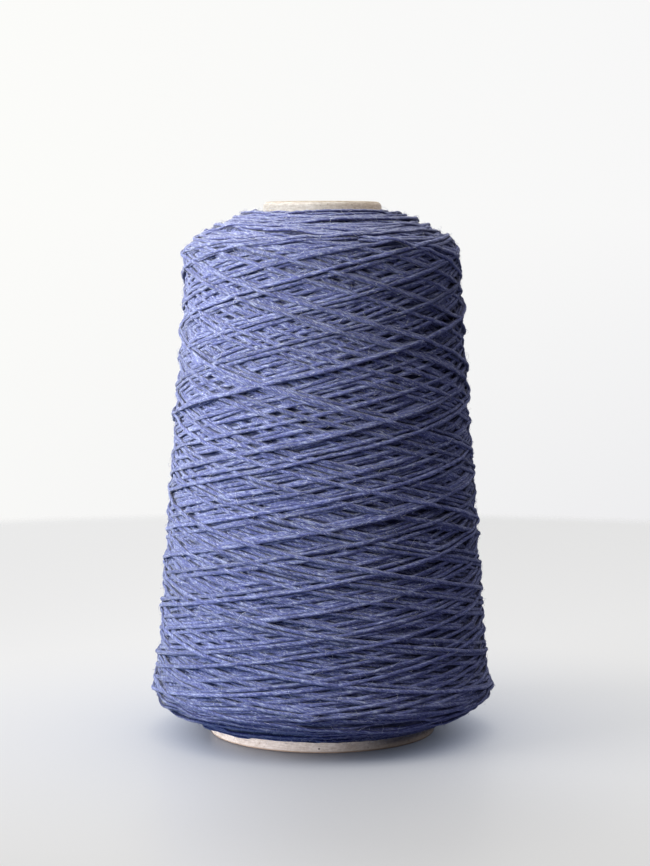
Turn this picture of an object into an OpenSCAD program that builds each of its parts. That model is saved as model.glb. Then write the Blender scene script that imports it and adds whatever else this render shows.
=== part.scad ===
// A cone of cross-wound yarn: a laminated paperboard winding cone, the yarn package wound
// on it, the few starting turns at its foot, and the loose running end of the yarn.
// Millimetres. +Z runs up the cone's axis; the origin is the centre of the cone's base plane.

/* [Paperboard cone] */
// Length of the cone along its axis
cone_len = 170; // [169:1:180]
// Outside diameter at the base (the wide end)
cone_base_od = 72.8; // [71:0.2:74]
// Half-angle of the taper, in degrees
cone_half_angle = 5.95; // [5.8:0.05:6]
// Thickness of the whole laminated wall, square to its surface
cone_wall = 3.0; // [2.9:0.1:3.2]
// Thickness of the innermost ply (the liner)
inner_ply_t = 0.7; // [0.5:0.1:0.9]
// Thickness of the first core ply
core_inner_t = 0.9; // [0.6:0.1:1]
// Thickness of the second core ply
core_outer_t = 0.9; // [0.6:0.1:1]
// Diameter of the short cylindrical land that the nose bore is sized to
nose_bore_d = 32.4; // [32:0.1:32.6]
// Outer edge radius of the rolled nose
nose_outer_r = 1.6; // [1:0.1:1.6]
// Inner edge radius of the rolled nose
nose_inner_r = 0.8; // [0.3:0.1:0.8]
// Edge radius of the outside of the base
base_edge_r = 0.5; // [0.2:0.1:0.8]

/* [Yarn] */
// Diameter of the yarn as it lies, lightly flattened
yarn_d = 1.2; // [1:0.1:1.2]
// Turns of yarn put on the bare foot of the cone before winding starts
start_turns = 1.75; // [1:0.25:1.75]
// Height of the first starting turn above the base
start_z = 4.3; // [3:0.1:4.4]
// Pitch of the starting turns
start_pitch = 1.3; // [1.25:0.05:1.4]
// Gap left between solids that rest on one another
rest_gap = 0.03; // [0.02:0.01:0.08]

/* [Yarn package] */
// Radius of the lower shoulder's corner, before it is rounded
foot_r = 55.95; // [55.5:0.05:56.5]
// Height of the lower shoulder's corner, before it is rounded
foot_z = 12.6; // [12:0.1:13]
// Radius of the package's lowest edge, beside the cone
lip_r = 39.2; // [39:0.1:40]
// Lowest point of the package above the base plane
lip_z = 3.6; // [3.4:0.1:4.4]
// Height of the package's underside where it meets the cone
underside_z = 9.5; // [9.3:0.1:10]
// Radius of the rolled lower shoulder
foot_round = 6.2; // [5.4:0.1:7]
// Radius of the package where the straight side begins, near the foot
side_low_r = 53.5; // [53:0.1:54]
// Radius of the package where the straight side ends, near the top
side_high_r = 44.95; // [44:0.05:46]
// Radius of the package at the top shoulder
shoulder_r = 44.3; // [43:0.1:44.6]
// Height of the top shoulder's corner, before it is rounded
shoulder_z = 157.8; // [155:0.1:159]
// Radius of the rolled top shoulder
shoulder_round = 7; // [5:0.5:8]
// Height of the top end face where it meets the cone
crown_z = 166.3; // [164.5:0.1:166.6]
// Depth of the last cross-wound courses that lie on the side
surface_depth = 2.4; // [1.6:0.1:3]

/* [Running end] */
// Where the running end leaves the package, in degrees round the axis
end_from_deg = 64; // [50:1:80]
// How far round the package the running end hangs, in degrees
end_sweep_deg = 62; // [50:1:75]
// Height at which the running end leaves the package
end_top_z = 150; // [145:1:152]
// Height of the running end's cut tip
end_tip_z = 104; // [95:1:115]
// How far the running end stands off the package along its length
end_standoff = 0.2; // [0.1:0.05:0.5]

/* [Hidden] */
$fn = 144;

cone_base_r = cone_base_od / 2;
taper = tan(cone_half_angle);                 // radius lost per mm of height
across = cone_wall / cos(cone_half_angle);    // the wall measured level
function level(t) = t / cos(cone_half_angle); // a ply thickness measured level
function cone_r(z) = cone_base_r - taper * z; // outside radius of the cone at height z

// Ply boundaries, as level distances in from the outside surface
d_inner = across - level(inner_ply_t);
d_core = d_inner - level(core_inner_t);
d_face = d_core - level(core_outer_t);
glue = 0.02;                                  // half a glue line on each side of a ply boundary

// ---- rounding of a polyline's corners: each corner gets an arc of its own radius ----
function unit(v) = v / norm(v);
function turn_of(a, b, c) = let (u = unit(a - b), w = unit(c - b)) acos(max(-1, min(1, u * w)));
function corner_arc(a, b, c, r, n) =
    let (u = unit(a - b), w = unit(c - b), half = turn_of(a, b, c) / 2,
         run = r / tan(half), mid = b + unit(u + w) * r / sin(half),
         p = b + u * run, q = b + w * run,
         a0 = atan2(p.y - mid.y, p.x - mid.x), a1 = atan2(q.y - mid.y, q.x - mid.x),
         swing = a1 - a0 > 180 ? a1 - a0 - 360 : (a1 - a0 < -180 ? a1 - a0 + 360 : a1 - a0))
    [for (i = [0:n]) mid + r * [cos(a0 + swing * i / n), sin(a0 + swing * i / n)]];
function rounded(pts, radii, steps) =
    [for (i = [0:len(pts) - 1])
        for (p = radii[i] == 0 ? [pts[i]]
                : corner_arc(pts[i - 1], pts[i], pts[i + 1], radii[i], steps[i])) p];

// ---- the package's outline, from the cone at its foot, up the side, to the cone at its crown ----
package_line = rounded(
    [[cone_r(underside_z) + rest_gap, underside_z],
     [lip_r, lip_z],
     [foot_r, foot_z],
     [side_low_r, 23],
     [side_high_r, 137],
     [shoulder_r, shoulder_z],
     [25.0, crown_z + 0.6],
     [cone_r(crown_z) + rest_gap, crown_z]],
    [0, 1.5, foot_round, 30, 60, shoulder_round, 9, 0],
    [0, 3, 8, 2, 3, 6, 3, 0]);

// radius of the package's side at height z, read off the outline between its shoulders
function side_at(z, i = 1) =
    let (a = package_line[i], b = package_line[i + 1])
    (b.y >= z && a.y < z && a.x > 40) ? a.x + (b.x - a.x) * (z - a.y) / (b.y - a.y)
        : (i + 2 < len(package_line) ? side_at(z, i + 1) : shoulder_r);

// a shell between two shares of the depth, from the cone (0) to the side (1)
function share_r(z, f) = cone_r(z) + f * (side_line(z) - cone_r(z));
function side_line(z) = side_low_r + (side_high_r - side_low_r) * (z - 23) / (137 - 23);
share_a = 0.36;
share_b = 0.70;

module cone_wall_profile() {
    // whole wall: outside taper, rolled nose, sized land, inside taper
    land_r = nose_bore_d / 2;
    land_low = (cone_base_r - across - land_r) / taper;
    polygon(concat(
        corner_arc([cone_base_r - across, 0], [cone_base_r, 0], [cone_r(cone_len), cone_len],
                   base_edge_r, 3),
        corner_arc([cone_base_r, 0], [cone_r(cone_len), cone_len], [land_r, cone_len],
                   nose_outer_r, 6),
        corner_arc([cone_r(cone_len), cone_len], [land_r, cone_len], [land_r, land_low],
                   nose_inner_r, 4),
        [[land_r, land_low], [cone_base_r - across, 0]]));
}

module ply_profile(d_out, d_in, margin_out, margin_in) {
    // the part of the wall between two level depths below the outside surface
    intersection() {
        cone_wall_profile();
        polygon([[cone_r(-5) - d_in + margin_in, -5], [cone_r(-5) - d_out - margin_out, -5],
                 [cone_r(cone_len + 5) - d_out - margin_out, cone_len + 5],
                 [cone_r(cone_len + 5) - d_in + margin_in, cone_len + 5]]);
    }
}

module cone_inner_ply()
    color([0.74, 0.66, 0.55]) rotate_extrude() ply_profile(d_inner, across + 1, glue, 0);

module cone_core_ply_inner()
    color([0.70, 0.63, 0.53]) rotate_extrude() ply_profile(d_core, d_inner, glue, glue);

module cone_core_ply_outer()
    color([0.72, 0.65, 0.55]) rotate_extrude() ply_profile(d_face, d_core, glue, glue);

module cone_face_ply()
    color([0.85, 0.80, 0.73]) rotate_extrude() ply_profile(-1, d_face, 0, glue);

// a closed round tube along computed points, each ring square to the path
module yarn_tube(path, radii, sides = 8) {
    n = len(path);
    rings = [for (i = [0:n - 1])
        let (t = unit(path[min(i + 1, n - 1)] - path[max(i - 1, 0)]),
             out = unit([path[i].x, path[i].y, 0]),
             side = unit(cross(t, out)), up = cross(side, t))
        for (k = [0:sides - 1])
            path[i] + radii[i] * (cos(360 * k / sides) * up + sin(360 * k / sides) * side)];
    polyhedron(
        points = rings,
        faces = concat(
            [[for (k = [0:sides - 1]) k]],
            [for (i = [0:n - 2]) for (k = [0:sides - 1])
                let (a = i * sides + k, b = i * sides + (k + 1) % sides)
                [a, a + sides, b + sides, b]],
            [[for (k = [sides - 1:-1:0]) (n - 1) * sides + k]]),
        convexity = 6);
}

module start_wraps() {
    turns_steps = 60;
    n = round(start_turns * turns_steps);
    r = yarn_d / 2 - 0.05;
    color([0.40, 0.45, 0.66]) yarn_tube(
        [for (i = [0:n])
            let (z = start_z + start_pitch * i / turns_steps, a = 25 + 360 * i / turns_steps,
                 rad = cone_r(z) + r / cos(cone_half_angle) + rest_gap + 0.07)
            [rad * cos(a), rad * sin(a), z]],
        [for (i = [0:n]) i < 3 || i > n - 3 ? r * 0.8 : r]);
}

module package_profile() polygon(package_line);

module package_share(f0, f1, inset) {
    // the courses between two shares of the package's depth; all of them show at both ends
    intersection() {
        package_profile();
        polygon([[f0 < 0 ? 5 : share_r(-10, f0) + inset, -10],
                 [f1 > 1 ? 90 : share_r(-10, f1) - inset, -10],
                 [f1 > 1 ? 90 : share_r(190, f1) - inset, 190],
                 [f0 < 0 ? 5 : share_r(190, f0) + inset, 190]]);
    }
}

module winding_inner_layers()
    color([0.36, 0.41, 0.62]) rotate_extrude() package_share(-1, share_a, rest_gap / 2);

module winding_middle_layers()
    color([0.38, 0.43, 0.65]) rotate_extrude() package_share(share_a, share_b, rest_gap / 2);

module surface_line_cut(extra) {
    // everything deeper than the last courses, measured level from the side
    polygon([[5, -10], [side_line(-10) - surface_depth - extra, -10],
             [side_line(190) - surface_depth - extra, 190], [5, 190]]);
}

module winding_outer_layers()
    color([0.40, 0.45, 0.68]) rotate_extrude() intersection() {
        package_share(share_b, 2, rest_gap / 2);
        surface_line_cut(rest_gap / 2);
    }

module winding_surface_wraps()
    color([0.43, 0.49, 0.73]) rotate_extrude() difference() {
        package_share(share_b, 2, rest_gap / 2);
        surface_line_cut(-rest_gap / 2);
    }

module running_end() {
    n = 64;
    r = yarn_d / 2;
    color([0.45, 0.51, 0.75]) yarn_tube(
        [for (i = [0:n])
            let (t = i / n,
                 z = end_top_z + (end_tip_z - end_top_z) * (0.35 * t + 0.65 * t * t)
                     + 1.6 * sin(540 * t) * t,
                 a = end_from_deg + end_sweep_deg * (t + 0.04 * sin(400 * t)),
                 rad = side_at(z) + r + end_standoff + 0.5 * pow(t, 4) + 0.15 * sin(900 * t) * t + 0.15 * t)
            [rad * cos(a), rad * sin(a), z]],
        [for (i = [0:n]) i < 2 ? r * 0.75 : (i > n - 2 ? r * 0.6 : r)]);
}

cone_inner_ply();
cone_core_ply_inner();
cone_core_ply_outer();
cone_face_ply();
start_wraps();
winding_inner_layers();
winding_middle_layers();
winding_outer_layers();
winding_surface_wraps();
running_end();
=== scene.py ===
# A cone of cross-wound yarn. The cone stands on its wide end at z = 0, its axis on Z, and the
# camera looks along +Y. Each course is laid over the ones below, as a winder lays it, so bands,
# crossings and gaps come out of the winding. Geometry is in mm; shaders, lights, camera in metres.
import math

import bpy
import numpy as np
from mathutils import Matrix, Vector


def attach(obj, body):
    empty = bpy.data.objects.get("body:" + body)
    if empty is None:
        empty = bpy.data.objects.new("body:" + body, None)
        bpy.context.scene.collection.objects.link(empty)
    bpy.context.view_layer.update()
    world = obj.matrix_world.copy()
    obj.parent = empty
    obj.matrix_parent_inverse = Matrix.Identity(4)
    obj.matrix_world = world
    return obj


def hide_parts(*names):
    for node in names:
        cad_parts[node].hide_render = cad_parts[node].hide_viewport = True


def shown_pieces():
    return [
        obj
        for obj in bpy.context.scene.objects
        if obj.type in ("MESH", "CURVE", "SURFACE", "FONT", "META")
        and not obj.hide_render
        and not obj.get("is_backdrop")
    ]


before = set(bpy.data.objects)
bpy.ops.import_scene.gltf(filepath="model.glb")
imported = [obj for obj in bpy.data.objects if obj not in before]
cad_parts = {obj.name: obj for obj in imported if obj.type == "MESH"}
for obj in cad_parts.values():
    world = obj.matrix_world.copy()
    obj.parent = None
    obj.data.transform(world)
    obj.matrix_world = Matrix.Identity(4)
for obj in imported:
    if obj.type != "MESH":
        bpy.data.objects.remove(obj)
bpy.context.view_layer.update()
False      # quick and full builds are the same
MM = 0.001
rng = np.random.default_rng(20611)

# ------------------------------------------------------------------ cone and package outline
TAPER = math.tan(math.radians(5.95))
BASE_R = 36.4           # outside of the cone at z = 0
CROWN_Z = 166.3         # where the yarn's upper end meets the cone
UNDER_Z = 9.5           # where the underside meets the cone
CONE_GAP = 0.25
GOLDEN_ANGLE = 2.399963


def cone_r(z):
    return BASE_R - TAPER * z


# From the cone at the crown, over the shoulder, down the side, round the foot, to the cone.
# Columns: radius, z, corner radius (0 is a plain end).
OUTLINE = [
    (cone_r(CROWN_Z) + CONE_GAP, CROWN_Z, 0),
    (25.0, CROWN_Z + 0.6, 9),
    (44.3, 157.8, 7),
    (44.95, 137, 60),
    (53.5, 23, 30),
    (55.95, 12.3, 6.2),
    (39.0, 2.8, 1.5),
    (cone_r(UNDER_Z) + CONE_GAP, UNDER_Z, 0),
]
CORNER_STEPS = 24


def corner_arc(before, corner, after, radius, steps):
    """Points of a round tangent to the two lines that meet at corner."""
    before, corner, after = (np.array(p, float) for p in (before, corner, after))
    to_before = (before - corner) / np.linalg.norm(before - corner)
    to_after = (after - corner) / np.linalg.norm(after - corner)
    half = math.acos(max(-1, min(1, float(to_before @ to_after)))) / 2
    reach = radius / math.tan(half)
    bisector = to_before + to_after
    centre = corner + bisector / np.linalg.norm(bisector) * radius / math.sin(half)
    start = math.atan2(*(corner + to_before * reach - centre)[::-1])
    end = math.atan2(*(corner + to_after * reach - centre)[::-1])
    swing = (end - start + math.pi) % (2 * math.pi) - math.pi
    angles = [start + swing * i / steps for i in range(steps + 1)]
    return [centre + radius * np.array([math.cos(a), math.sin(a)]) for a in angles]


def rounded_outline():
    """The outline's points with rounded corners, and the distance along it to each."""
    line = []
    for i, (radius, z, corner) in enumerate(OUTLINE):
        if corner == 0:
            line.append(np.array([radius, z], float))
        else:
            before, here, after = (p[:2] for p in OUTLINE[i - 1:i + 2])
            line += corner_arc(before, here, after, corner, CORNER_STEPS)
    line = np.array(line)
    dist = np.concatenate([[0], np.cumsum(np.hypot(*np.diff(line, axis=0).T))])
    distinct = np.concatenate([[True], np.diff(dist) > 1e-4])
    return line[distinct], dist[distinct]


def smooth(values, sigma):
    reach = int(3 * sigma) + 1
    kernel = np.exp(-0.5 * (np.arange(-reach, reach + 1) / sigma) ** 2)
    kernel /= kernel.sum()
    return np.convolve(np.pad(values, reach, mode="edge"), kernel, mode="valid")


# The height map: rows along the outline, columns round the axis. A place on the package is
# (along, angle): mm along the outline from the crown end, radians round the axis.
ROW_STEP = 0.3
outline_points, outline_dist = rounded_outline()
N_ROWS = int(outline_dist[-1] / ROW_STEP) + 1
ROW_ALONG = np.arange(N_ROWS) * ROW_STEP
END = ROW_ALONG[-1]
ROW_R = np.interp(ROW_ALONG, outline_dist, outline_points[:, 0])
ROW_Z = np.interp(ROW_ALONG, outline_dist, outline_points[:, 1])
N_COLS = 1024
COL_STEP = 2 * math.pi / N_COLS

# outward normal of a line that runs outwards, then down
ROW_NR = smooth(-np.gradient(ROW_Z, ROW_STEP), 3)
ROW_NZ = smooth(np.gradient(ROW_R, ROW_STEP), 3)
normal_length = np.hypot(ROW_NR, ROW_NZ)
ROW_NR, ROW_NZ = ROW_NR / normal_length, ROW_NZ / normal_length


def at(row_values, along):
    return np.interp(along, ROW_ALONG, row_values)


def along_where(row_values, target, barred):
    """Place along the outline where a value is nearest its target, outside the barred rows."""
    return float(ROW_ALONG[np.argmin(np.abs(row_values - target) + barred * 99)])


SHOULDER = along_where(ROW_R, 42.3, ROW_Z < 150)
SIDE_TOP = along_where(ROW_Z, 150, ROW_R < 40)
SIDE_LOW = along_where(ROW_Z, 20, ROW_R < 50)
FOOT = along_where(ROW_Z, 9.5, ROW_R < 52)


def map_rows(along):
    return np.clip((along / ROW_STEP + 0.5).astype(np.int32), 0, N_ROWS - 1)


def map_cols(angle):
    return (angle / COL_STEP).astype(np.int64) % N_COLS


def rows_between(low, high, ease):
    """Row weights: 1 between two places, easing to 0 over ease mm outside them."""
    inside = np.clip(np.minimum(ROW_ALONG - low, high - ROW_ALONG) / ease + 1, 0, 1)
    return inside * inside * (3 - 2 * inside)


# ------------------------------------------------------------------ settling of the package
HALF_W, HALF_H = 0.68, 0.55     # half width and half height of the strand as it lies
STACK = 0.32                    # half height a strand adds where it is crossed and squeezed
STEP = 0.25                     # spacing of points while a strand is laid
STORE_EVERY = 4                 # stored strands are spaced 1 mm
OFFSETS = np.array([-0.69, -0.46, -0.23, 0.0, 0.23, 0.46, 0.69])
SEEN_OFFSETS = np.array([-0.86, -0.6, -0.3, 0.0, 0.3, 0.6, 0.86])
DOME = np.sqrt(1 - (OFFSETS / 0.75) ** 2)
PRESS = 0.35                    # share of a proud band pushed into the yarn beside it

height = np.zeros((N_ROWS, N_COLS), np.float32)
laid = {key: [] for key in ("along", "angle", "centre", "top", "kind", "order")}

BLOCK = 4                       # map cells along each side of an averaging block
BLOCK_ROWS, BLOCK_COLS = N_ROWS // BLOCK, N_COLS // BLOCK
BLOCK_LENGTH = ROW_STEP * BLOCK
BLOCK_WIDTH = 2 * math.pi * 48 / BLOCK_COLS     # at a middling radius of 48


def gauss_matrix(size, sigma, wrap):
    index = np.arange(size)
    apart = np.abs(index[:, None] - index[None])
    if wrap:
        apart = np.minimum(apart, size - apart)
    weights = np.exp(-0.5 * (apart / sigma) ** 2)
    return (weights / weights.sum(1)[:, None]).astype(np.float32)


def upsampling(n_fine, n_coarse, wrap):
    """For each cell, the two blocks it lies between and the share of the second."""
    x = (np.arange(n_fine) - (BLOCK - 1) / 2) / BLOCK
    low = np.floor(x).astype(int)
    share = (x - low).astype(np.float32)
    if wrap:
        return low % n_coarse, (low + 1) % n_coarse, share
    return np.clip(low, 0, n_coarse - 1), np.clip(low + 1, 0, n_coarse - 1), share


BROAD_ROWS = gauss_matrix(BLOCK_ROWS, 5.5 / BLOCK_LENGTH, wrap=False)
BROAD_COLS = gauss_matrix(BLOCK_COLS, 6.5 / BLOCK_WIDTH, wrap=True)
LOCAL_ROWS = gauss_matrix(BLOCK_ROWS, 2.4 / BLOCK_LENGTH, wrap=False)
LOCAL_COLS = gauss_matrix(BLOCK_COLS, 4.0 / BLOCK_WIDTH, wrap=True)
ROW_LOW, ROW_HIGH, ROW_SHARE = upsampling(N_ROWS, BLOCK_ROWS, wrap=False)
COL_LOW, COL_HIGH, COL_SHARE = upsampling(N_COLS, BLOCK_COLS, wrap=True)


def settle(relief_kept, where):
    """Yarn below is pressed by yarn above: relief shrinks and the local mean is taken out.

    where is how strongly each row of the map is being wound just now.
    """
    blocks = height[:BLOCK_ROWS * BLOCK].reshape(BLOCK_ROWS, BLOCK, BLOCK_COLS, BLOCK)
    blocks = blocks.mean((1, 3))
    mean = (1 - PRESS) * (BROAD_ROWS @ blocks @ BROAD_COLS)
    mean = mean + PRESS * (LOCAL_ROWS @ blocks @ LOCAL_COLS)
    mean = mean[ROW_LOW] * (1 - ROW_SHARE)[:, None] + mean[ROW_HIGH] * ROW_SHARE[:, None]
    mean = mean[:, COL_LOW] * (1 - COL_SHARE)[None] + mean[:, COL_HIGH] * COL_SHARE[None]
    keep = (1 - where * (1 - relief_kept)).astype(np.float32)
    mean = mean * where[:, None].astype(np.float32)
    height[:] = (height - mean) * keep[:, None]
    if laid["along"]:
        rows = map_rows(np.concatenate(laid["along"]))
        drop = mean[rows, map_cols(np.concatenate(laid["angle"]))]
        cuts = np.cumsum([len(strand) for strand in laid["along"]])[:-1]
        for key in ("centre", "top"):
            laid[key] = np.split((np.concatenate(laid[key]) - drop) * keep[rows], cuts)


# ------------------------------------------------------------------ laying one strand
def resample(along, angle, step):
    """The same path with its points evenly spaced."""
    radius = at(ROW_R, along)
    mid_radius = (radius[1:] + radius[:-1]) / 2
    dist = np.cumsum(np.hypot(np.diff(along), mid_radius * np.diff(angle)))
    dist = np.concatenate([[0], dist])
    even = np.linspace(0, dist[-1], max(4, int(dist[-1] / step)))
    return np.interp(even, dist, along), np.interp(even, dist, angle)


def wander(count, scale, amount):
    """A slow random drift with a knot every scale steps."""
    knots = max(4, int(count / scale) + 4)
    values = rng.normal(0, amount, knots)
    return np.interp(np.linspace(0, knots - 1, count), np.arange(knots), values)


def cells_across(along, angle, offsets):
    """Map rows and columns of the cells across a strand at each of its points."""
    radius = at(ROW_R, along)
    step_along, step_round = np.gradient(along), np.gradient(angle) * radius
    length = np.hypot(step_along, step_round) + 1e-9
    side_along, side_round = -step_round / length, step_along / length
    return (map_rows(along[:, None] + offsets[None] * side_along[:, None]),
            map_cols(angle[:, None] + offsets[None] * (side_round / radius)[:, None]))


def bridge(support):
    """Centre heights of a taut strand that lies on its support and spans the gaps."""
    count, group = len(support), 4
    coarse_count = count // group
    grouped = support[:coarse_count * group].reshape(coarse_count, group)
    floor_line = 0.5 * grouped.max(1) + 0.5 * grouped.mean(1)
    line = floor_line.copy()
    sag = 0.07
    for _ in range(26):
        line[1:-1] = np.maximum(floor_line[1:-1], (line[:-2] + line[2:]) / 2 - sag)
    line = smooth(line, 0.8)
    return np.interp(np.arange(count), np.arange(coarse_count) * group + 1.5, line)


def lay(along, angle, kind, order, keep=True, dive=0.0):
    """Lay a strand on the map; dive is how far its ends sink under later ones."""
    along, angle = resample(along, angle, STEP)
    count = len(along)
    along = along + smooth(wander(count, scale=60, amount=0.16), 12)
    along = np.clip(along, 0.5, END - 0.5)
    cells = cells_across(along, angle, OFFSETS)
    profile = STACK * DOME[None]
    centre = bridge((height[cells] + profile).max(1))
    if dive:
        index = np.arange(count)
        inward = np.clip(np.minimum(index, index[::-1]) * STEP / 9.0, 0, 1)
        centre = centre - dive * (1 - inward) ** 2
    np.maximum.at(height, cells, (centre[:, None] + profile).astype(np.float32))
    if keep:
        part = slice(0, count, STORE_EVERY)
        record = (along[part], angle[part], centre[part], centre[part] + STACK, kind, order)
        for values, value in zip(laid.values(), record):
            values.append(value)


def lay_loop(kind, order, turn_at, angle, reach, tilt, scatter, keep=True):
    """Lay one turning loop, open towards the side, with its two ends dived under later ones.

    reach (mm) and tilt (degrees) are ranges to draw from.
    """
    reach, tilt = rng.uniform(*reach), rng.uniform(*tilt)
    span = reach / (0.5 * at(ROW_R, turn_at) * math.tan(math.radians(tilt)))
    angle = angle + rng.normal(0, scatter)
    way = np.linspace(-1, 1, 160)
    lean = rng.normal(0, 0.25)
    sign = 1 if kind == "crown" else -1
    along = turn_at + sign * reach * (way * way) * (1 + lean * way)
    lay(along, angle + span * way, kind, order, keep=keep, dive=0.8)


# ------------------------------------------------------------------ winding the package
# wind angle in degrees at the side's top, middle and low end
DOWN_ANGLES = (23.0, 16.5, 11.0)
UP_ANGLES = (21.0, 14.0, 11.5)
STROKE_STEPS = 700
TURN_EASE = 9.0                 # mm over which the guide slows before it reverses
BURIED = 40                     # first loops at each end, never seen and so not stored
SETTLE_EVERY = 8                # loops between settlings


def side_speed(along, down, pace):
    """How far along the side the guide moves for each radian the package turns."""
    way = np.clip((along - SIDE_TOP) / (SIDE_LOW - SIDE_TOP), -0.1, 1.1)
    top, mid, low = DOWN_ANGLES if down else UP_ANGLES
    degrees = np.where(way < 0.5, top + (mid - top) * way * 2,
                       mid + (low - mid) * (way * 2 - 1))
    return at(ROW_R, along) * np.tan(np.radians(degrees)) * pace


def stroke(start, end, down, pace):
    """Path between two turning points; its angle starts at 0."""
    way = (np.arange(STROKE_STEPS) + 0.5) / STROKE_STEPS
    along = start + (end - start) * (1 - np.cos(math.pi * way)) / 2
    done, left = np.abs(along - start), np.abs(end - along)
    slowing = np.sqrt(done / (done + TURN_EASE)) * np.sqrt(left / (left + TURN_EASE))
    rate = np.abs(end - start) * math.pi / 2 * np.sin(math.pi * way)
    angle = np.cumsum(rate / (side_speed(along, down, pace) * slowing)) / STROKE_STEPS
    return along, angle - angle[0]


def wind_crown(count=430):
    """Loops of every layer over the crown, from the cone outwards."""
    for i in range(count):
        share = (i + 0.5) / count
        turn_at = 1.2 + (SHOULDER - 4.5 - 1.2) * share ** 0.9 + rng.normal(0, 1.0)
        turn_at = max(0.9, turn_at)
        lay_loop("crown", i, turn_at, i * GOLDEN_ANGLE, reach=(5.0, 13.0), tilt=(14, 25),
                 scatter=0.25, keep=i > BURIED)
        if i % SETTLE_EVERY == SETTLE_EVERY - 1:
            settle(0.97, rows_between(turn_at - 3, turn_at + 10, ease=4))


def wind_foot(count=330):
    """Loops over the underside and foot, from the cone outwards."""
    for i in range(count):
        share = (i + 0.5) / count
        turn_at = END - 1.2 - (END - 1.2 - FOOT - 3.0) * share ** 0.9 + rng.normal(0, 0.7)
        turn_at = min(END - 0.9, turn_at)
        lay_loop("foot", i, turn_at, i * GOLDEN_ANGLE, reach=(3.0, 9.0), tilt=(6, 12),
                 scatter=0.25, keep=i > BURIED)
        if i % SETTLE_EVERY == SETTLE_EVERY - 1:
            settle(0.97, rows_between(turn_at - 8, turn_at + 3, ease=4))


# Strokes up and down the side. Columns: p, q, cycles. A double stroke advances p/q of a turn
# past whole turns, so q of them close on themselves.
GROUPS = [(2, 7, 2), (3, 8, 2), (1, 4, 4), (3, 11, 2), (2, 9, 2),
          (3, 7, 2), (2, 7, 3), (3, 11, 2), (2, 5, 3), (3, 8, 3)]
LOOSE = 78                      # last courses that lie as they fell; those below are pressed
STORED_BELOW = 40               # pressed courses under the loose ones that are still stored
FIRST_GROUP_WITH_ENDS = 4


def wind_turning_ends(group, phase):
    """Near-level loops round the foot, then loops that climb over the shoulder and return."""
    for i in range(9):
        turn_at = FOOT + 2.0 + rng.normal(0, 2.6)
        lay_loop("foot", 400 + group * 10 + i, turn_at, phase + i * GOLDEN_ANGLE,
                 reach=(7.0, 20.0), tilt=(7, 14), scatter=0.3)
    for i in range(12):
        turn_at = SHOULDER - rng.uniform(1.0, 16.0)
        lay_loop("crown", 500 + group * 12 + i, turn_at, phase + i * GOLDEN_ANGLE,
                 reach=(8.0, 20.0), tilt=(15, 27), scatter=0.3)
    settle(0.90, rows_between(SHOULDER - 17, SHOULDER + 1, ease=4))


def wind_side():
    """One long strand up and down, each group of strokes laid side by side."""
    phase, order = 0.4, 0
    side_rows = rows_between(SHOULDER - 1, FOOT + 3, ease=5)
    total = sum(q * cycles for _, q, cycles in GROUPS)
    for group, (p, q, cycles) in enumerate(GROUPS):
        phase += rng.uniform(0, 2 * math.pi)
        pace = rng.uniform(0.94, 1.06)
        top_drift, low_drift = rng.normal(0, 1.2), rng.normal(0, 0.8)
        gain = rng.uniform(1.55, 2.0) / 49.0    # strand pitch as an angle
        for j in range(q * cycles):
            start = SHOULDER - 1.0 + top_drift + rng.normal(0, 2.4)
            low = FOOT + 2.0 + low_drift + rng.normal(0, 2.0)
            back = SHOULDER - 1.0 + top_drift + rng.normal(0, 2.4)
            down_along, down_angle = stroke(start, low, True, pace)
            up_along, up_angle = stroke(low, back, False, pace)
            turned = down_angle[-1] + up_angle[-1]
            wanted = 2 * math.pi * (round(turned / (2 * math.pi) - p / q) + p / q) + gain / q
            scale = wanted / turned
            if j % q == 0 and j:
                phase += rng.choice([0.0, 0.0, 0.045, -0.02])
            along = np.concatenate([down_along, up_along])
            angle = np.concatenate([down_angle, down_angle[-1] + up_angle])
            angle = phase + angle * scale
            angle = angle + np.radians(smooth(wander(len(angle), 90, 0.35), 20))
            lay(along, angle, "side", order, keep=order >= total - LOOSE - STORED_BELOW)
            phase += wanted
            order += 1
            if order % 3 == 0:
                settle(0.88 if order < total - LOOSE else 0.99, side_rows)
        if FIRST_GROUP_WITH_ENDS <= group < len(GROUPS) - 1:
            wind_turning_ends(group, phase)


wind_crown()
wind_foot()
wind_side()

# The tops of the courses are brought to the package's outline, smoothly along its length.
top_line = smooth(np.percentile(height, 93, axis=1), 10)
# how deep the relief may go, along the outline
RELIEF_DEPTH = np.interp(ROW_ALONG, [SHOULDER - 8, SHOULDER + 4, FOOT - 6, FOOT + 6],
                         [1.5, 3.0, 3.0, 2.0])


def polar(radius, angle, z):
    """Vectors from a radius, an angle round the axis and z."""
    parts = np.broadcast_arrays(radius * np.cos(angle), radius * np.sin(angle), z)
    return np.stack(parts, -1)


def unit(vectors):
    return vectors / (np.linalg.norm(vectors, axis=1)[:, None] + 1e-12)


def place(along, angle, level):
    """Points and outward normals at a level of the height map."""
    normal_r, normal_z = at(ROW_NR, along), at(ROW_NZ, along)
    rise = level - at(top_line, along)
    deep = at(RELIEF_DEPTH, along)
    # the deeper, the closer packed
    rise = np.where(rise > 0, 0.6 * rise, -deep * (1 - np.exp(np.minimum(rise, 0) / deep)))
    points = polar(at(ROW_R, along) + normal_r * rise, angle,
                   at(ROW_Z, along) + normal_z * rise)
    return points, polar(normal_r, angle, normal_z)


# ------------------------------------------------------------------ meshes
class Strand:
    """A length of yarn: points, normals, half width and height at each, four random seeds."""

    def __init__(self, points, normals, half_width, half_height, seeds, order=0):
        self.points, self.normals = points, normals
        self.half_width, self.half_height = half_width, half_height
        self.seeds, self.order = seeds, order


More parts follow.
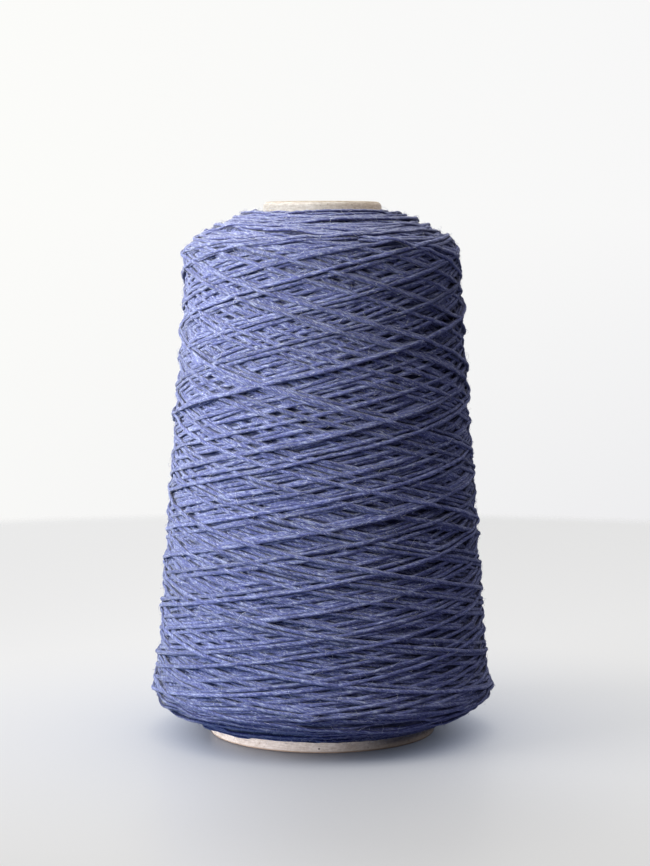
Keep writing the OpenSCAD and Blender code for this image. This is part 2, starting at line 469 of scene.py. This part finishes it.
def new_object(name, verts_mm, loops, totals):
    """A smooth-shaded mesh; totals is the number of corners of each face."""
    mesh = bpy.data.meshes.new(name)
    mesh.vertices.add(len(verts_mm))
    mesh.vertices.foreach_set("co", (np.asarray(verts_mm, np.float32) * MM).ravel())
    mesh.loops.add(len(loops))
    mesh.loops.foreach_set("vertex_index", np.asarray(loops, np.int32))
    starts = np.concatenate([[0], np.cumsum(totals)[:-1]])
    mesh.polygons.add(len(totals))
    mesh.polygons.foreach_set("loop_start", starts.astype(np.int32))
    mesh.polygons.foreach_set("loop_total", np.asarray(totals, np.int32))
    mesh.polygons.foreach_set("use_smooth", np.full(len(totals), True))
    mesh.update(calc_edges=True)
    ob = bpy.data.objects.new(name, mesh)
    bpy.context.scene.collection.objects.link(ob)
    return ob


def put_vectors(ob, name, *parts):
    attribute = ob.data.attributes.new(name, "FLOAT_VECTOR", "POINT")
    values = np.stack(parts, -1)
    attribute.data.foreach_set("vector", np.asarray(values, np.float32).ravel())


TWIST = 2 * math.pi / 15.0      # radians per mm


def tubes(name, strands, sides=8):
    """One closed, tapered tube per strand, all in one object."""
    points = np.concatenate([s.points for s in strands])
    normals = np.concatenate([s.normals for s in strands])
    half_width = np.concatenate([s.half_width for s in strands])
    half_height = np.concatenate([s.half_height for s in strands])
    lengths = np.array([len(s.points) for s in strands])
    seeds = np.repeat(np.array([s.seeds for s in strands]), lengths, axis=0)
    first = np.concatenate([[0], np.cumsum(lengths)[:-1]])
    last = first + lengths - 1
    count = len(points)
    after = np.minimum(np.arange(count) + 1, count - 1)
    before = np.maximum(np.arange(count) - 1, 0)
    after[last], before[first] = last, first
    tangent = unit(points[after] - points[before])
    sideways = unit(np.cross(tangent, normals))
    up = np.cross(sideways, tangent)
    for ends, factor in ((first, 0.35), (last, 0.35), (first + 1, 0.85), (last - 1, 0.85)):
        half_width[ends] *= factor
        half_height[ends] *= factor
    phi = 2 * math.pi * np.arange(sides) / sides
    step = np.linalg.norm(points[after] - points, axis=1)
    dist = np.concatenate([[0], np.cumsum(step)[:-1]]) + seeds[:, 0] * 400
    twisted = phi[None] + (dist * TWIST)[:, None]
    lobe = 1 + 0.045 * np.cos(2 * twisted)
    wide = (half_width[:, None] * lobe * np.cos(phi)[None])[..., None]
    high = (half_height[:, None] * lobe * np.sin(phi)[None])[..., None]
    verts = points[:, None] + wide * sideways[:, None] + high * up[:, None]

    has_next = np.ones(count, bool)
    has_next[last] = False
    rings = np.flatnonzero(has_next)
    k = np.arange(sides)
    here = rings[:, None] * sides + k[None]
    beside = rings[:, None] * sides + (k[None] + 1) % sides
    quads = np.stack([here, beside, beside + sides, here + sides], -1).reshape(-1, 4)
    start_caps = first[:, None] * sides + k[::-1][None]
    end_caps = last[:, None] * sides + k[None]
    loops = np.concatenate([quads.ravel(), start_caps.ravel(), end_caps.ravel()])
    totals = np.concatenate([np.full(len(quads), 4), np.full(2 * len(first), sides)])
    ob = new_object(name, verts.reshape(-1, 3), loops, totals)

    def per_side(values):
        return np.repeat(values[:, None], sides, 1)

    put_vectors(ob, "yarn_co", per_side(dist), np.cos(twisted), np.sin(twisted))
    # the third value is the height round the strand, used by the yarn shader for painted shade on
    # the flanks
    put_vectors(ob, "yarn_rnd", per_side(seeds[:, 1]), per_side(seeds[:, 2]),
                np.broadcast_to(np.sin(phi)[None], (count, sides)))
    return ob


def visible(along, angle, top):
    """Points of a strand that show, or lie within 3 points of one that does."""
    gap = height[cells_across(along, angle, SEEN_OFFSETS)] - top[:, None]
    seen = (gap < 0.22).any(1)
    return np.convolve(seen.astype(float), np.ones(7), mode="same") > 0.5


def runs_of(mask, shortest):
    """Start and end of each run of true values."""
    edges = np.diff(np.concatenate([[0], mask.astype(np.int8), [0]]))
    edges = np.flatnonzero(edges)
    return [(a, b) for a, b in zip(edges[::2], edges[1::2]) if b - a >= shortest]


def shown_strands():
    """The lengths of laid yarn that show, by kind."""
    shown = {}
    for along, angle, centre, top, kind, order in zip(*laid.values()):
        mask = visible(along, angle, top)
        count = len(along)
        slub = 1 + 0.10 * smooth(wander(count, 9, 1.0), 2.0) + 0.05 * wander(count, 3, 1.0)
        slub = np.clip(slub, 0.72, 1.35)
        points, normals = place(along, angle, centre + 0.25 * (HALF_H - STACK))
        seeds = rng.uniform(0, 1, 4)
        seeds[1] = np.clip(rng.normal(0.5, 0.2), 0, 1)
        for a, b in runs_of(mask, shortest=5):
            size = slub[a:b]
            shown.setdefault(kind, []).append(Strand(
                points[a:b], normals[a:b], HALF_W * size, HALF_H * (0.35 + 0.65 * size),
                seeds, order))
    return shown


def body_mesh(name, levels, step):
    """The closed body under the courses: a bumpy outside and a plain taper inside."""
    rows = np.arange(0, N_ROWS, step)
    cols = np.arange(0, N_COLS, step)
    angle = cols * COL_STEP
    outer = [place(np.full(len(cols), ROW_ALONG[row]), angle, levels[row, cols])[0]
             for row in rows]
    inner = [polar(cone_r(z) + 1.75, angle, z)
             for z in np.linspace(8.6, CROWN_Z - 0.6, 40)[1:-1]]
    rings, around = len(outer) + len(inner), len(cols)
    i, j = np.meshgrid(np.arange(rings), np.arange(around), indexing="ij")
    next_i, next_j = (i + 1) % rings, (j + 1) % around
    quads = np.stack([i * around + j, next_i * around + j,
                      next_i * around + next_j, i * around + next_j], -1).reshape(-1, 4)
    verts = np.array(outer + inner).reshape(-1, 3)
    return new_object(name, verts, quads.ravel(), np.full(len(quads), 4))


# ------------------------------------------------------------------ shader helpers
class Shader:
    """A node tree being built. Inputs given as sockets are linked, others are set."""

    def __init__(self, tree):
        self.tree = tree
        tree.nodes.clear()

    def node(self, kind, inputs=None, **settings):
        made = self.tree.nodes.new("ShaderNode" + kind)
        for key, value in settings.items():
            setattr(made, key, value)
        self.feed(made, inputs or {})
        return made

    def feed(self, target, inputs):
        for key, value in inputs.items():
            if isinstance(value, bpy.types.NodeSocket):
                self.tree.links.new(value, target.inputs[key])
            else:
                target.inputs[key].default_value = value

    def math(self, operation, *values):
        return self.node("Math", dict(enumerate(values)), operation=operation).outputs[0]

    def times(self, a, b):
        return self.math("MULTIPLY", a, b)

    def plus(self, a, b):
        return self.math("ADD", a, b)

    def vector(self, operation, *values):
        made = self.node("VectorMath", dict(enumerate(values)), operation=operation)
        return made.outputs["Value" if operation in ("LENGTH", "DISTANCE") else 0]

    def split(self, vector):
        return self.node("SeparateXYZ", {0: vector}).outputs

    def join(self, x, y, z):
        return self.node("CombineXYZ", {0: x, 1: y, 2: z}).outputs[0]

    def coords(self, kind="Object"):
        return self.node("TexCoord").outputs[kind]

    def attribute(self, name):
        return self.node("Attribute", attribute_name=name).outputs["Vector"]

    def camera_ray(self):
        return self.node("LightPath").outputs["Is Camera Ray"]

    def remap(self, value, source, target, smoothed=False):
        """Carry the range source onto the range target, clamped."""
        inputs = {0: value, 1: source[0], 2: source[1], 3: target[0], 4: target[1]}
        interpolation = "SMOOTHSTEP" if smoothed else "LINEAR"
        return self.node("MapRange", inputs, interpolation_type=interpolation).outputs[0]

    def mix(self, factor, a, b, blend="MIX"):
        return self.node("Mix", {0: factor, 6: a, 7: b},
                         data_type="RGBA", blend_type=blend).outputs[2]

    def shade(self, colour, red, green, blue):
        """A colour with its channels multiplied."""
        return self.mix(1.0, colour, self.join(red, green, blue), "MULTIPLY")

    def ramp(self, factor, stops):
        made = self.node("ValToRGB", {0: factor})
        elements = made.color_ramp.elements
        while len(elements) < len(stops):
            elements.new(0.5)
        for element, (position, colour) in zip(elements, stops):
            element.position = position
            element.color = colour
        return made.outputs[0]

    def noise(self, vector, scale, detail, roughness):
        return self.node("TexNoise", {"Vector": vector, "Scale": scale, "Detail": detail,
                                      "Roughness": roughness}).outputs["Fac"]

    def streaks(self, vector, stretch, detail, roughness, shift=None):
        """Noise with its own scale on each axis."""
        vector = self.vector("MULTIPLY", vector, stretch)
        if shift is not None:
            vector = self.vector("ADD", vector, shift)
        return self.noise(vector, 1.0, detail, roughness)

    def weighted(self, values, weights):
        total = self.times(values[0], weights[0])
        for value, weight in zip(values[1:], weights[1:]):
            total = self.plus(total, self.times(value, weight))
        return total

    def bump(self, strength, distance, relief):
        return self.node("Bump", {"Strength": strength, "Distance": distance,
                                  "Height": relief}).outputs[0]


def new_material(name):
    """A material, its shader and its principled node."""
    material = bpy.data.materials.new(name)
    material.use_nodes = True
    shader = Shader(material.node_tree)
    shader.output = shader.node("OutputMaterial")
    bsdf = shader.node("BsdfPrincipled")
    shader.feed(shader.output, {0: bsdf.outputs[0]})
    return material, shader, bsdf


def dress(ob, material):
    ob.data.materials.clear()
    ob.data.materials.append(material)


def mount(ob, material, carrier):
    """Dress a piece of yarn and let it ride on a part of the frame."""
    dress(ob, material)
    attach(ob, carrier)


# ------------------------------------------------------------------ yarn materials
YARN_DARK = (0.032, 0.037, 0.138, 1)
YARN_MID = (0.088, 0.102, 0.296, 1)
YARN_LIGHT = (0.275, 0.308, 0.510, 1)
YARN_HAIR = (0.62, 0.65, 0.78, 1)
YARN_PIT = (0.012, 0.014, 0.046, 1)
# Fine, streaked and broad grain. Columns: stretch on each axis, detail, roughness.
TWISTED_GRAIN = [
    ((0.95, 2.8, 2.8), 3.0, 0.72),
    ((0.46, 1.5, 1.5), 3.0, 0.62),
    ((0.11, 0.5, 0.5), 2.0, 0.5),
]
PLAIN_GRAIN = [
    ((700, 700, 2100), 4.0, 0.65),
    ((260, 260, 900), 3.0, 0.6),
    ((90, 90, 260), 2.0, 0.5),
]


def yarn_grain(shader, coords, layers, shift=None):
    """The blended grain, its colour, and the broadest layer by itself."""
    noises = [shader.streaks(coords, *layer, shift=shift) for layer in layers]
    grain = shader.weighted(noises, (0.36, 0.44, 0.20))
    stops = [(0.375, YARN_DARK), (0.50, YARN_MID), (0.625, YARN_LIGHT)]
    return grain, shader.ramp(grain, stops), noises[-1]


def finish_yarn(shader, bsdf, grain, colour, variation, tone):
    """Brightness that varies about tone, with a matt fuzzy sheen."""
    bright = shader.remap(variation, (0.0, 1.0), (0.80 * tone, 1.20 * tone))
    shader.feed(bsdf, {
        "Base Color": shader.shade(colour, bright, bright, bright),
        "Roughness": 0.88,
        "Specular IOR Level": 0.12,
        "Sheen Weight": 0.33,
        "Sheen Roughness": 0.5,
        "Sheen Tint": (0.86, 0.90, 1.0, 1),
        "Normal": shader.bump(strength=0.9, distance=0.00026, relief=grain),
    })


def yarn_material():
    """Spun yarn: streaks that follow the twist, light hairs, dark pits, and painted shade on each
    strand's flanks, bluer, with a slight painted highlight on its top.
    """
    material, shader, bsdf = new_material("yarn_surface")
    coords = shader.attribute("yarn_co")
    seed, other_seed, upward = shader.split(shader.attribute("yarn_rnd"))
    shift = shader.vector("MULTIPLY", shader.join(seed, other_seed, seed), (310, 170, 90))
    grain, colour, _ = yarn_grain(shader, coords, TWISTED_GRAIN, shift)
    speck = shader.streaks(coords, (0.85, 2.6, 2.6), 3.0, 0.68, shift)
    colour = shader.mix(shader.remap(speck, (0.57, 0.70), (0.0, 0.62)), colour, YARN_HAIR)
    colour = shader.mix(shader.remap(speck, (0.43, 0.31), (0.0, 0.75)), colour, YARN_PIT)
    # painted shade: each strand darker and bluer down its flanks, a little lighter on its top
    painted_flank_shade = shader.remap(upward, (0.0, 0.86), (0.18, 1.10), smoothed=True)
    painted_flank_blue = shader.remap(painted_flank_shade, (0.18, 1.10), (0.34, 1.08))
    colour = shader.shade(colour, painted_flank_shade, painted_flank_shade, painted_flank_blue)
    finish_yarn(shader, bsdf, grain, colour, seed, tone=1.0)
    return material


def shaded_deep_yarn_material():
    """The yarn under the courses, painted darker as shade."""
    material, shader, bsdf = new_material("yarn_deep_painted_shade")
    grain, colour, broad = yarn_grain(shader, shader.coords(), PLAIN_GRAIN)
    # tone 0.40 darkens this yarn as painted shade in the gaps between strands
    finish_yarn(shader, bsdf, grain, colour, broad, tone=0.40)
    return material


def stray_fibre_material():
    material, shader, bsdf = new_material("stray_fibre")
    seed = shader.split(shader.attribute("yarn_rnd"))[1]
    colour = shader.ramp(seed, [(0.0, (0.10, 0.12, 0.28, 1)), (0.5, (0.34, 0.36, 0.58, 1)),
                                (1.0, (0.66, 0.68, 0.82, 1))])
    shader.feed(bsdf, {"Base Color": colour, "Roughness": 0.6})
    return material


# ------------------------------------------------------------------ board materials
FLECK_BROWN = (0.17, 0.115, 0.075, 1)
FLECKS = ((520.0, 0.16), (230.0, 0.075))    # cell scale, fleck radius in cells
PLY = 0.00045                               # spacing of the ply lines


def ply_lines(shader, coords, noise, colour):
    """Light and dark lines through the wall, parallel to the cone's taper."""
    x, y, z = shader.split(coords)
    radius = shader.vector("LENGTH", shader.node("CombineXYZ", {0: x, 1: y}).outputs[0])
    depth = shader.plus(radius, shader.times(z, TAPER))
    depth = shader.plus(depth, shader.times(noise, 0.00025))
    wave = shader.math("SINE", shader.times(depth, 2 * math.pi / PLY))
    wave = shader.remap(wave, (-1.0, 1.0), (0.84, 1.08))
    return shader.shade(colour, wave, wave, wave)


def rim_contact_shadow_and_chip(shader, coords, noise, colour):
    """A painted contact shadow along the lower rim, and one dark chip at the front."""
    z = shader.split(coords)[2]
    level = shader.plus(z, shader.times(noise, -0.0006))
    # painted contact shadow: the lowest 0.4 mm of the board darkened brown
    painted_rim_shadow = shader.remap(level, (0.00010, 0.00042), (0.75, 0.0))
    colour = shader.mix(painted_rim_shadow, colour, (0.26, 0.17, 0.11, 1))
    chip = shader.vector("DISTANCE", coords, (-0.0010, -0.03625, 0.00145))
    chip = shader.remap(chip, (0.00022, 0.00042), (0.85, 0.0))
    return shader.mix(chip, colour, (0.06, 0.045, 0.035, 1))


def board_material(name, light, mid, dark, fleck, feature=None):
    """Wound paperboard: pulp with fibres lying round the cone, and brown specks."""
    material, shader, bsdf = new_material(name)
    coords = shader.coords()
    fine = shader.noise(coords, scale=1100.0, detail=4.0, roughness=0.65)
    lying = shader.streaks(coords, (420, 420, 2600), detail=4.0, roughness=0.65)
    broad = shader.noise(coords, scale=85.0, detail=3.0, roughness=0.5)
    grain = shader.weighted((fine, lying, broad), (0.36, 0.38, 0.26))
    colour = shader.ramp(grain, [(0.38, dark), (0.50, mid), (0.62, light)])
    for scale, size in FLECKS:
        cell = shader.node("TexVoronoi", {"Vector": coords, "Scale": scale}, feature="F1")
        painted_front_shadow = shader.remap(cell.outputs["Distance"], (size * 0.5, size), (fleck, 0.0))
        colour = shader.mix(painted_front_shadow, colour, FLECK_BROWN)
    if feature:
        colour = feature(shader, coords, fine, colour)
    shader.feed(bsdf, {
        "Base Color": colour,
        "Roughness": 0.78,
        "Specular IOR Level": 0.25,
        "Normal": shader.bump(strength=0.5, distance=0.0002, relief=grain),
    })
    return material


M_YARN = yarn_material()
M_YARN_DEEP_SHADED = shaded_deep_yarn_material()
M_FACE = board_material(
    "board_face", light=(0.68, 0.63, 0.57, 1), mid=(0.55, 0.49, 0.43, 1),
    dark=(0.41, 0.345, 0.285, 1), fleck=0.5, feature=rim_contact_shadow_and_chip)
M_CORE = board_material(
    "board_core", light=(0.60, 0.52, 0.42, 1), mid=(0.48, 0.40, 0.31, 1),
    dark=(0.34, 0.28, 0.21, 1), fleck=0.6, feature=ply_lines)
M_LINER = board_material(
    "board_liner", light=(0.62, 0.53, 0.42, 1), mid=(0.52, 0.43, 0.33, 1),
    dark=(0.40, 0.32, 0.24, 1), fleck=0.5)

CONE_PLIES = {"cone_inner_ply": M_LINER, "cone_core_ply_inner": M_CORE,
              "cone_core_ply_outer": M_CORE, "cone_face_ply": M_FACE}
for ply_name, ply_material in CONE_PLIES.items():
    dress(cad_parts[ply_name], ply_material)


# ------------------------------------------------------------------ the package
def build_package():
    shown = shown_strands()
    pieces = [tubes("winding_%s_turns" % kind, shown[kind]) for kind in ("crown", "foot")]
    side = sorted(shown["side"], key=lambda strand: strand.order)
    count = np.cumsum([len(strand.points) for strand in side])
    letters = "abcdefgh"
    for k, letter in enumerate(letters):
        low, high = (count[-1] * n / len(letters) for n in (k, k + 1))
        part = [strand for strand, c in zip(side, count) if low < c <= high]
        pieces.append(tubes("winding_side_courses_" + letter, part))
    # the body follows the lowest of each cell and its four neighbours
    low = np.minimum(np.minimum(height, np.roll(height, 1, 1)), np.roll(height, -1, 1))
    low[1:] = np.minimum(low[1:], height[:-1])
    low[:-1] = np.minimum(low[:-1], height[1:])
    body = body_mesh("winding_inner_body", low - 0.55, step=3)
    pieces.append(body)
    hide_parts("winding_inner_layers", "winding_middle_layers", "winding_outer_layers")
    for ob in pieces:
        # the body under the courses takes the yarn with painted shade
        mount(ob, M_YARN_DEEP_SHADED if ob is body else M_YARN, "winding")
    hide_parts("winding_surface_wraps")


def thickness(count, vary, low, high):
    return np.clip(1 + vary * wander(count, 9, 1.0), low, high)


def build_first_courses():
    """First courses, seen in the package's bore once it is off the cone."""
    count = 356
    z = np.linspace(UNDER_Z + 0.1, CROWN_Z - 1.4, count)
    strands = []
    for k in range(44):
        up = k % 2
        climb = np.cumsum(np.full(count, (z[1] - z[0])))
        pitch = cone_r(z) * math.tan(math.radians(17 + 4 * z.mean() / 160))
        angle = k * GOLDEN_ANGLE + (1 if up else -1) * climb / pitch
        angle = angle + np.radians(wander(count, 40, 0.8))
        gap = 0.08 + HALF_H * 0.9 + (0.0 if up else 0.42)
        size = thickness(count, 0.1, 0.75, 1.3)
        strands.append(Strand(
            polar(cone_r(z) + gap, angle, z), polar(-1, angle, 0), HALF_W * size,
            HALF_H * 0.9 * np.minimum(size, 1.0), rng.uniform(0, 1, 4)))
    mount(tubes("winding_first_courses", strands, sides=6), M_YARN, "winding")


def build_start_wraps():
    """One and three quarter turns round the foot of the cone."""
    count = 260
    turns = np.linspace(0, 1.75, count)
    z = 4.3 + 1.3 * turns
    angle = np.radians(25) + 2 * math.pi * turns
    size = thickness(count, 0.08, 0.8, 1.2)
    strand = Strand(polar(cone_r(z) + 0.62, angle, z), unit(polar(1, angle, TAPER)),
                    0.56 * size, 0.5 * size, rng.uniform(0, 1, 4))
    wraps = tubes("start_wraps_yarn", [strand], sides=10)
    mount(wraps, M_YARN, "cone")
    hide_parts("start_wraps")


def build_running_end():
    """The free end, lying down the side, with loose fibres at its cut."""
    count = 150
    way = np.linspace(0, 1, count)
    z = 150 + (104 - 150) * (0.35 * way + 0.65 * way * way)
    z = z + 1.6 * np.sin(np.radians(540 * way)) * way
    angle = np.radians(64 + 62 * (way + 0.04 * np.sin(np.radians(400 * way))))
    side = (ROW_Z < 153) & (ROW_Z > 20) & (ROW_R > 40)
    radius = np.interp(z, ROW_Z[side][::-1], ROW_R[side][::-1])
    radius = radius + 0.6 + 0.2 + 0.5 * way ** 4
    radius = radius + 0.15 * np.sin(np.radians(900 * way)) * way + 0.15 * way
    # its start sinks into the package
    radius = radius - 1.5 * np.clip(1 - way / 0.10, 0, 1) ** 1.5
    points = polar(radius, angle, z)
    normals = unit(polar(1, angle, 0.08))
    size = thickness(count, 0.1, 0.8, 1.25)
    size[-8:] *= np.linspace(1, 0.7, 8)
    strands = [Strand(points, normals, 0.60 * size, 0.54 * size, rng.uniform(0, 1, 4))]

    tip = points[-3]
    onward = (points[-1] - points[-6]) / np.linalg.norm(points[-1] - points[-6])
    fibre_count = 9
    out = np.linspace(0, 1, fibre_count)[:, None]
    for _ in range(11):
        bend = rng.normal(0, 1, 3)
        length = rng.uniform(1.6, 4.2)
        fibre = tip + rng.normal(0, 0.16, 3) + onward * length * out
        fibre = fibre + bend * 0.42 * length * 0.35 * out * out
        strands.append(Strand(
            fibre, np.repeat(normals[-1:], fibre_count, 0), np.full(fibre_count, 0.07),
            np.full(fibre_count, 0.06), rng.uniform(0, 1, 4)))
    tail = tubes("running_end_yarn", strands)
    mount(tail, M_YARN, "running_end")
    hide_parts("running_end")


def build_stray_fibres():
    fibres, points_each = 7000, 5
    starts = rng.uniform(2.0, END - 6, fibres)
    start_angles = rng.uniform(0, 2 * math.pi, fibres)
    way = np.linspace(0, 1, points_each)
    strands = []
    for start, start_angle in zip(starts, start_angles):
        length = rng.gamma(2.6, 0.9) + 0.7
        heading = rng.choice([-1, 1]) * math.radians(rng.uniform(0, 40))
        heading = heading + (math.pi if rng.random() < 0.5 else 0)
        heading = heading + rng.normal(0, 0.9) * way
        along = start + np.cumsum(np.sin(heading)) * length / points_each
        along = np.clip(along, 0.5, END - 0.5)
        angle = np.cumsum(np.cos(heading)) * length / points_each / at(ROW_R, along)
        angle = start_angle + angle
        rows = np.clip((along / ROW_STEP).astype(int), 0, N_ROWS - 1)
        base = height[rows, map_cols(angle)]
        rise = rng.gamma(1.7, 0.34)
        arch = np.sin(np.minimum(way * 1.25, 1.0) * math.pi * rng.uniform(0.5, 1.0))
        level = base.max() * 0.5 + base * 0.5 + 0.16 + rise * arch
        level[0] = base[0] - 0.05
        points, normals = place(along, angle, level)
        half = np.full(points_each, rng.uniform(0.024, 0.048))
        strands.append(Strand(points, normals, half, half, rng.uniform(0, 1, 4)))
    fuzz = tubes("winding_stray_fibres", strands, sides=3)
    mount(fuzz, stray_fibre_material(), "winding")


build_package()
build_first_courses()
build_start_wraps()
build_running_end()
build_stray_fibres()


# ------------------------------------------------------------------ floor and world
WHITE = (1.0, 1.0, 1.0, 1)


def floor_material():
    """A pale floor that glows, with painted shade and shadow near the product, fading out at its
    rim.
    """
    material, shader, bsdf = new_material("floor_pale")
    coords = shader.coords()
    x, y, _ = shader.split(coords)
    fade = shader.remap(shader.vector("LENGTH", coords), (0.535, 0.58), (1.0, 0.0), True)
    openness = shader.node("AmbientOcclusion", {"Distance": 0.12}, samples=12).outputs["AO"]
    # depth of the painted contact shadow: weakest on the left, eased again on the far right
    depth = shader.remap(x, (-0.055, 0.0), (0.42, 1.08), smoothed=True)
    easing = shader.remap(x, (0.015, 0.075), (0.0, 0.45), smoothed=True)
    glow = shader.math("POWER", openness, shader.math("SUBTRACT", depth, easing))
    # painted shade: dimmer to the right, a painted shadow round a spot in front, and dimmer
    # towards the camera
    across = shader.remap(x, (-0.065, 0.020), (0.98, 0.89), smoothed=True)
    painted_front_shadow = shader.vector("DISTANCE", coords, (0.022, -0.115, 0.0))
    painted_front_shadow = shader.remap(painted_front_shadow, (0.015, 0.085), (0.89, 1.0), smoothed=True)
    glow = shader.times(glow, shader.times(across, painted_front_shadow))
    near = shader.remap(y, (0.10, -0.32), (1.0, 0.74), smoothed=True)
    # the camera sees the full glow; the product receives less of it, and bluer, as painted light
    # from the floor
    seen = shader.remap(shader.camera_ray(), (0.0, 1.0), (0.22, 1.0))
    full_glow = 0.685
    glow = shader.times(shader.times(glow, near), shader.times(seen, full_glow))
    # painted reflection of the blue yarn: the floor's shade tinted blue
    painted_blue_shade = shader.mix(openness, (0.66, 0.78, 1.10, 1), WHITE)
    bounce = shader.mix(shader.camera_ray(), (0.52, 0.66, 1.42, 1), WHITE)
    shader.feed(bsdf, {
        "Base Color": (0.15, 0.15, 0.155, 1),
        "Roughness": 0.38,
        "Specular IOR Level": 0.35,
        "Emission Color": shader.mix(1.0, painted_blue_shade, bounce, "MULTIPLY"),
        "Emission Strength": glow,
    })
    clear = shader.node("BsdfTransparent").outputs[0]
    faded = shader.node("MixShader", {0: fade, 1: clear, 2: bsdf.outputs[0]})
    shader.feed(shader.output, {0: faded.outputs[0]})
    return material


def build_world():
    """A pale backdrop for the camera; dimmer surroundings, bright overhead, for the light."""
    world = bpy.data.worlds.new("studio")
    scene.world = world
    world.use_nodes = True
    shader = Shader(world.node_tree)
    view_x, view_y, _ = shader.split(shader.coords("Window"))
    # painted shade on the backdrop: darker to the right and lower down
    left = shader.ramp(view_y, [(0.35, (0.935, 0.935, 0.925, 1)),
                                (0.75, (0.97, 0.97, 0.95, 1))])
    right = shader.ramp(view_y, [(0.35, (0.84, 0.84, 0.855, 1)),
                                 (0.75, (0.935, 0.935, 0.935, 1))])
    backdrop = shader.node("Background", {0: shader.mix(view_x, left, right)})
    x, y, z = shader.split(shader.vector("NORMALIZE", shader.coords("Generated")))
    leftward = shader.remap(x, (-1.0, 0.35), (1.0, 0.0), smoothed=True)
    behind = shader.remap(y, (0.25, 1.0), (0.0, 1.0), smoothed=True)
    overhead = shader.remap(z, (0.50, 0.95), (0.0, 1.0), smoothed=True)
    light = shader.mix(leftward, (0.024, 0.020, 0.018, 1), (0.26, 0.27, 0.28, 1))
    light = shader.mix(behind, light, (0.36, 0.36, 0.36, 1))
    light = shader.mix(overhead, light, (1.42, 1.40, 1.34, 1))
    surroundings = shader.node("Background", {"Color": light, "Strength": 0.9})
    chosen = shader.node("MixShader", {0: shader.camera_ray(), 1: surroundings.outputs[0],
                                       2: backdrop.outputs[0]})
    shader.node("OutputWorld", {0: chosen.outputs[0]})


scene = bpy.context.scene
bpy.ops.mesh.primitive_circle_add(vertices=128, radius=0.62, fill_type="NGON",
                                  location=(0, 0, 0))
floor = bpy.context.object
floor.name = "floor"
floor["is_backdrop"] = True
dress(floor, floor_material())
build_world()


# ------------------------------------------------------------------ lights
def receivers(name, objects):
    """A collection of the objects a light falls on."""
    group = bpy.data.collections.new(name)
    for ob in objects:
        group.objects.link(ob)
    return group


def area(name, location, target, size, power, colour, size_y=None, spread=None, lit=None):
    """An area light; spread is in degrees, lit limits what it falls on."""
    light = bpy.data.lights.new(name, "AREA")
    light.energy = power
    light.color = colour
    light.size = size
    if size_y:
        light.shape = "RECTANGLE"
        light.size_y = size_y
    if spread:
        light.spread = math.radians(spread)
    ob = bpy.data.objects.new(name, light)
    ob.location = location
    ob.rotation_mode = "QUATERNION"
    aim = Vector(target) - Vector(location)
    ob.rotation_quaternion = aim.to_track_quat("-Z", "Y")
    scene.collection.objects.link(ob)
    if lit:
        ob.light_linking.receiver_collection = lit
    ob.visible_camera = False
    return ob


def front_left(distance, z):
    """A place out to the left and a little to the front."""
    return (-0.94 * distance, -0.34 * distance, z)


board_lit = receivers("lit_as_board", [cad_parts[name] for name in CONE_PLIES])
yarn_lit = receivers("lit_as_yarn",
                     [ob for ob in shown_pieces() if ob.name not in board_lit.objects])
floor_lit = receivers("lit_as_floor", [floor])

area("key_left", front_left(0.30, 0.240), target=(0, 0, 0.158), size=0.56, size_y=0.18,
     power=1.60, colour=(1.0, 0.99, 0.81), spread=106, lit=yarn_lit)
floor_key = area("floor_key", front_left(0.42, 0.34), target=(0, 0, 0.225), size=0.34,
                 size_y=0.30, power=1.47, colour=(1.0, 0.985, 0.94), spread=76, lit=floor_lit)
floor_key.visible_glossy = False
area("board_key", front_left(0.42, 0.34), target=(0, 0, 0.225), size=0.34, size_y=0.30,
     power=0.86, colour=(0.89, 0.95, 1.0), spread=76, lit=board_lit)
area("board_right", (0.36, -0.30, 0.30), target=(0, 0, 0.17), size=0.20,
     power=0.92, colour=(1.0, 0.90, 0.79), lit=board_lit)
area("low_left", (-0.95 * 0.42, -0.46 * 0.42, 0.030), target=(0, 0, 0.003), size=0.36,
     size_y=0.05, power=3.0, colour=(0.96, 0.94, 1.0), lit=board_lit)
area("low_key", front_left(0.42, 0.02), target=(0, 0, 0.02), size=0.20, size_y=0.06,
     power=0.10, colour=(0.40, 0.68, 1.0), spread=70, lit=yarn_lit)
area("top_back", (0.02, 0.24, 0.52), target=(-0.02, 0, 0.17), size=0.20,
     power=0.07, colour=(1.0, 0.96, 0.90), spread=50)

# ------------------------------------------------------------------ camera and render
PITCH_DOWN = math.radians(4.97)
lens = bpy.data.cameras.new("camera")
lens.sensor_width = 36.0
lens.lens = 90.9145497
lens.shift_x = 0.0031177829
lens.clip_start, lens.clip_end = 0.01, 10
camera = bpy.data.objects.new("camera", lens)
scene.collection.objects.link(camera)
scene.camera = camera
camera.location = (0.0, -0.700, 0.157)
camera.rotation_euler = (math.pi / 2 - PITCH_DOWN, 0, 0)

scene.view_settings.view_transform = "Standard"
scene.view_settings.look = "None"
scene.cycles.use_denoising = True
scene.cycles.max_bounces = 6
scene.cycles.diffuse_bounces = 3
scene.cycles.glossy_bounces = 2
scene.cycles.transparent_max_bounces = 4
